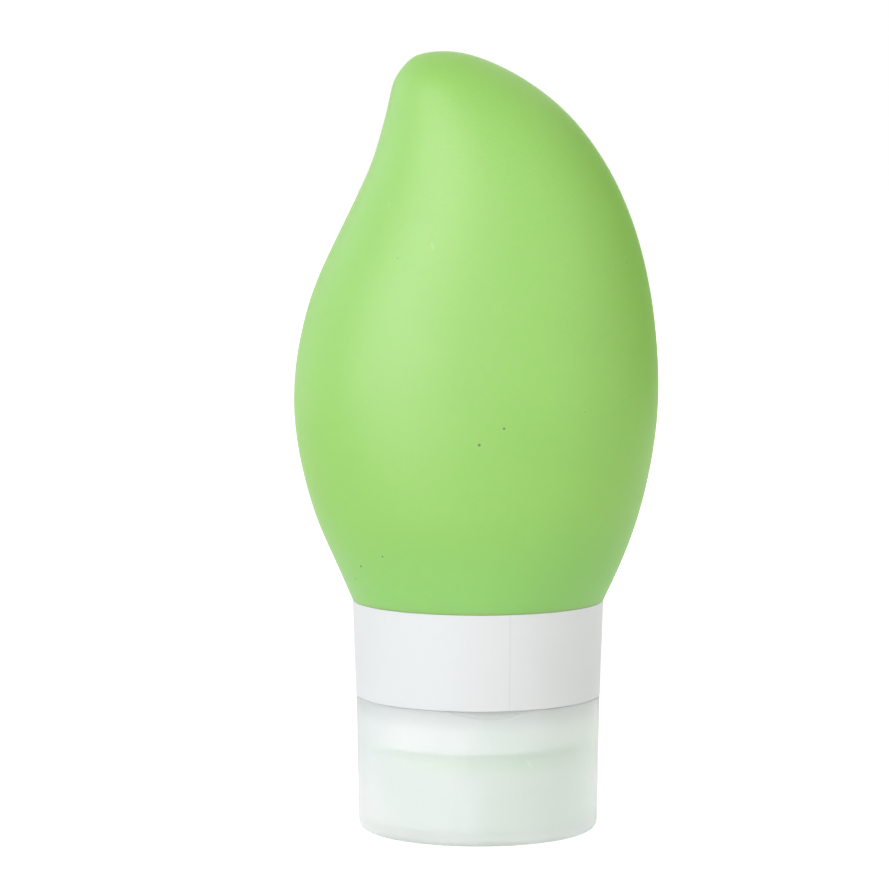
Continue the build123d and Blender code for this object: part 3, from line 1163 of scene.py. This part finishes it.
# Lid: a cup with its stopper and sealing bead
lid = {
    "rim": 19.81,
    "rimRadius": 17.97,
    "faceRadius": 17.62,
    "wall": 1.15,
    "floor": 1.4,
    "edgeBend": 1.15,
    "rimBend": 0.07,
    "cornerBend": 1.1,
    "beadLevel": 12.05,
    "beadHalf": 0.8,
    "beadBore": 15.76,
    "beadBend": 0.4,
    "beadSideBend": 0.3,
    "stopperRoot": 3.4,
    "stopperRootBend": 0.6,
    "stopperRadius": 2.4,
    "stopperTop": 13.35,
    "stopperBend": 1.15,
    "taperBend": 0.8,
    "notchRowsFrom": 17.95,
    "notchRowStep": 0.09,
    "notchRowCount": 16,
}


def lidOuter(level):
    return lid["faceRadius"] + (lid["rimRadius"] - lid["faceRadius"]) * level / lid["rim"]


def lidInner(level):
    return lidOuter(level) - lid["wall"]


def lidRows():
    # from the face's middle, up the outside and back down inside, to the stopper's top
    rows = [(0, 0, 0), (lid["faceRadius"], 0, lid["edgeBend"])]
    for k in range(lid["notchRowCount"]):  # close rows for the notch to bend
        level = lid["notchRowsFrom"] + lid["notchRowStep"] * k
        rows.append((lidOuter(level), level, 0))
    beadTop, beadFoot = lid["beadLevel"] + lid["beadHalf"], lid["beadLevel"] - lid["beadHalf"]
    return rows + [
        (lid["rimRadius"], lid["rim"], lid["rimBend"]),
        (lidInner(lid["rim"]), lid["rim"], lid["rimBend"]),
        (lidInner(beadTop), beadTop, lid["beadSideBend"]),
        (lid["beadBore"], lid["beadLevel"], lid["beadBend"]),
        (lidInner(beadFoot), beadFoot, lid["beadSideBend"]),
        (lidInner(lid["floor"]), lid["floor"], lid["cornerBend"]),
        (lid["stopperRoot"], lid["floor"], lid["stopperRootBend"]),
        (lid["stopperRadius"], lid["stopperTop"] - lid["stopperRadius"], lid["taperBend"]),
        (lid["stopperRadius"], lid["stopperTop"], lid["stopperBend"]),
        (0, lid["stopperTop"], 0),
    ]


flipLid = turned("flipLid", lidRows(), lidFinish, closed=False, segments=320)
notch = {
    "Turned": capTurn,
    "Half Width": 6.2 * mm,
    "Drop": 1.3 * mm,
    "Depth": 0.6 * mm,
    "Edge": 0.35 * mm,
    "Rim Level": lid["rim"] * mm,
    "Skin Radius": 17.3 * mm,
    "Material": lidFinish,
}
runTree(flipLid, notchTree, notch)
carve(flipLid, hingeRod(cap["reliefRadius"], cap["lidReliefHalf"]), "DIFFERENCE")
carve(flipLid, hingeLug(-1, -cap["knuckleHalf"], cap["knuckleHalf"]), "UNION")
pinHoleHalf = cap["knuckleHalf"] + cap["pinHolePast"]
knuckleHole = hingeRod(cap["knuckleHoleRadius"], pinHoleHalf, cap["pinHoleSides"])
carve(flipLid, knuckleHole, "DIFFERENCE")
finishShading(paint(outwards(flipLid), lidFinish))
print("stage: lid with its notch and knuckle", len(flipLid.data.polygons))

# Each piece rides on its body and stands for its solids, whose nodes are hidden; the last column
# names its finish
placing = [
    (bottleSkin, "bottle", ["bottle_body"], "green_silicone"),
    (neckThread, "bottle", [], "green_silicone"),
    (neckSleeve, "bottle", ["neck_insert"], "white_plastic"),
    (neckGasket, "gasket", ["neck_gasket"], "seal_silicone"),
    (collarShell, "cap", ["collar"], "white_plastic"),
    (collarThread, "cap", [], "white_plastic"),
    (valveFunnel, "cap", ["valve_carrier"], "white_plastic"),
    (dripValve, "cap", ["no_drip_valve"], "seal_silicone"),
    (sealRing, "cap", ["lid_seal"], "seal_silicone"),
    (flipLid, "lid", ["lid"], "clear_plastic"),
]
for piece, bodyName, solids, slotName in placing:
    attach(piece, bodyName)
    if solids:
        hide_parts(*solids)
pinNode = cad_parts["hinge_pin"]
for slotItem in pinNode.material_slots:
    slotItem.material = pinFinish
print("stage: pieces ride on their bodies")

# Floor and light: a pale studio, lit softly from the front left, with a weaker lamp at the right
studio = {
    "aim": (0.0, 0.0, 0.06),
    "floorSize": 6.0,
    "floorColour": (0.72, 0.72, 0.72, 1.0),
    "nearGlow": 0.55,
    "farGlow": 0.7,
    "nearReach": 0.1,
    "farReach": 0.7,
    "worldLight": 0.5,
    "worldColour": (1.0, 1.0, 1.0, 1.0),
}


def stageSheet(name, wide, tall, finish):
    mesh = bpy.data.meshes.new(name)
    corners = [(-wide, -tall, 0), (wide, -tall, 0), (wide, tall, 0), (-wide, tall, 0)]
    mesh.from_pydata(corners, [], [(0, 1, 2, 3)])
    mesh.materials.append(finish)
    return addObject(name, mesh)


def aim(item, axis):
    towards = Vector(studio["aim"]) - item.location
    item.rotation_euler = towards.to_track_quat(axis, "Y").to_euler()


def seenDirectly(tree):
    # 1 for the camera and for what glossy and clear surfaces show
    path = place(tree, "ShaderNodeLightPath").outputs
    seen = maths(tree, "MAXIMUM", path["Is Camera Ray"], path["Is Glossy Ray"])
    return maths(tree, "MAXIMUM", seen, path["Is Transmission Ray"])


paleFloor = bpy.data.materials.new("paleFloor")
tree = clearNodes(paleFloor)
matt = flow(tree, "ShaderNodeBsdfDiffuse", {"Color": studio["floorColour"]})
spot = place(tree, "ShaderNodeTexCoord").outputs["Object"]
away = place(tree, "ShaderNodeVectorMath", {0: spot}, operation="LENGTH").outputs["Value"]
reaches = studio["nearReach"], studio["farReach"]
level = ramp(tree, away, *reaches, studio["nearGlow"], studio["farGlow"])
strength = maths(tree, "MULTIPLY", seenDirectly(tree), level)
glow = flow(tree, "ShaderNodeEmission", {"Strength": strength})
both = flow(tree, "ShaderNodeAddShader", {0: matt, 1: glow})
place(tree, "ShaderNodeOutputMaterial", {"Surface": both})
floor = stageSheet("studioFloor", studio["floorSize"] / 2, studio["floorSize"] / 2, paleFloor)

world = bpy.data.worlds.new("studioWorld")
bpy.context.scene.world = world
tree = clearNodes(world)
shown = flow(tree, "ShaderNodeBackground", {"Color": studio["worldColour"]})
inputs = {"Color": studio["worldColour"], "Strength": studio["worldLight"]}
ambient = flow(tree, "ShaderNodeBackground", inputs)
mixed = flow(tree, "ShaderNodeMixShader", {0: seenDirectly(tree), 1: ambient, 2: shown})
place(tree, "ShaderNodeOutputWorld", {"Surface": mixed})

# Softboxes: place, size, power, tint, and whether each shows as matt light, as gloss or through
# the clear lid
lamps = {
    "keySoftbox": ((-0.6, -0.72, 0.4), (0.9, 0.9), 6.6, (0.985, 1.0, 1.02), "matt gloss through"),
    "fillSoftbox": ((0.87, -0.42, 0.25), (0.7, 0.8), 2.75, (1.0, 1.0, 0.9), "matt gloss through"),
    "glossSoftbox": ((-0.65, -0.9, 0.3), (1.4, 1.2), 14.5, (1.0, 0.8, 1.1), "gloss"),
    "frontGlossSoftbox": ((0.6, -1.1, 0.3), (1.0, 1.2), 4.5, (1.0, 0.98, 1.04), "gloss"),
    "edgeGlossSoftbox": ((-1.0, 0.45, 0.3), (0.9, 1.2), 3.5, (0.8, 0.95, 1.3), "gloss"),
    "throughSoftbox": ((0.75, 0.45, 0.15), (0.6, 0.5), 3.4, (1.0, 1.0, 1.0), "through"),
    "backSoftbox": ((0.2, 1.0, 0.5), (0.9, 0.9), 4.5, (1.0, 1.0, 1.0), "matt"),
}
for lampName, (lampPlace, lampSize, power, tint, shows) in lamps.items():
    lampData = bpy.data.lights.new(lampName, "AREA")
    lampData.shape = "RECTANGLE"
    lampData.size, lampData.size_y = lampSize
    lampData.energy = power
    lampData.color = tint
    lamp = bpy.data.objects.new(lampName, lampData)
    bpy.context.collection.objects.link(lamp)
    lamp.location = lampPlace
    lamp.visible_diffuse = "matt" in shows
    lamp.visible_glossy = "gloss" in shows
    lamp.visible_transmission = "through" in shows
    aim(lamp, "-Z")

# A dark card on the right that shows only as gloss, so that the right edge keeps its colour
card = {"place": (0.49, 0.1, 0.08), "halfSize": (0.65, 0.4), "colour": (0.02, 0.02, 0.02, 1.0)}
darkFelt = bpy.data.materials.new("darkFelt")
tree = clearNodes(darkFelt)
felt = flow(tree, "ShaderNodeBsdfDiffuse", {"Color": card["colour"]})
place(tree, "ShaderNodeOutputMaterial", {"Surface": felt})
darkCard = stageSheet("darkCard", *card["halfSize"], darkFelt)
darkCard.location = card["place"]
aim(darkCard, "Z")
darkCard.visible_camera = False
darkCard.visible_diffuse = False
darkCard.visible_transmission = False
darkCard.visible_shadow = False

view = bpy.context.scene.view_settings
view.view_transform = "Standard"
print("stage: studio lit")
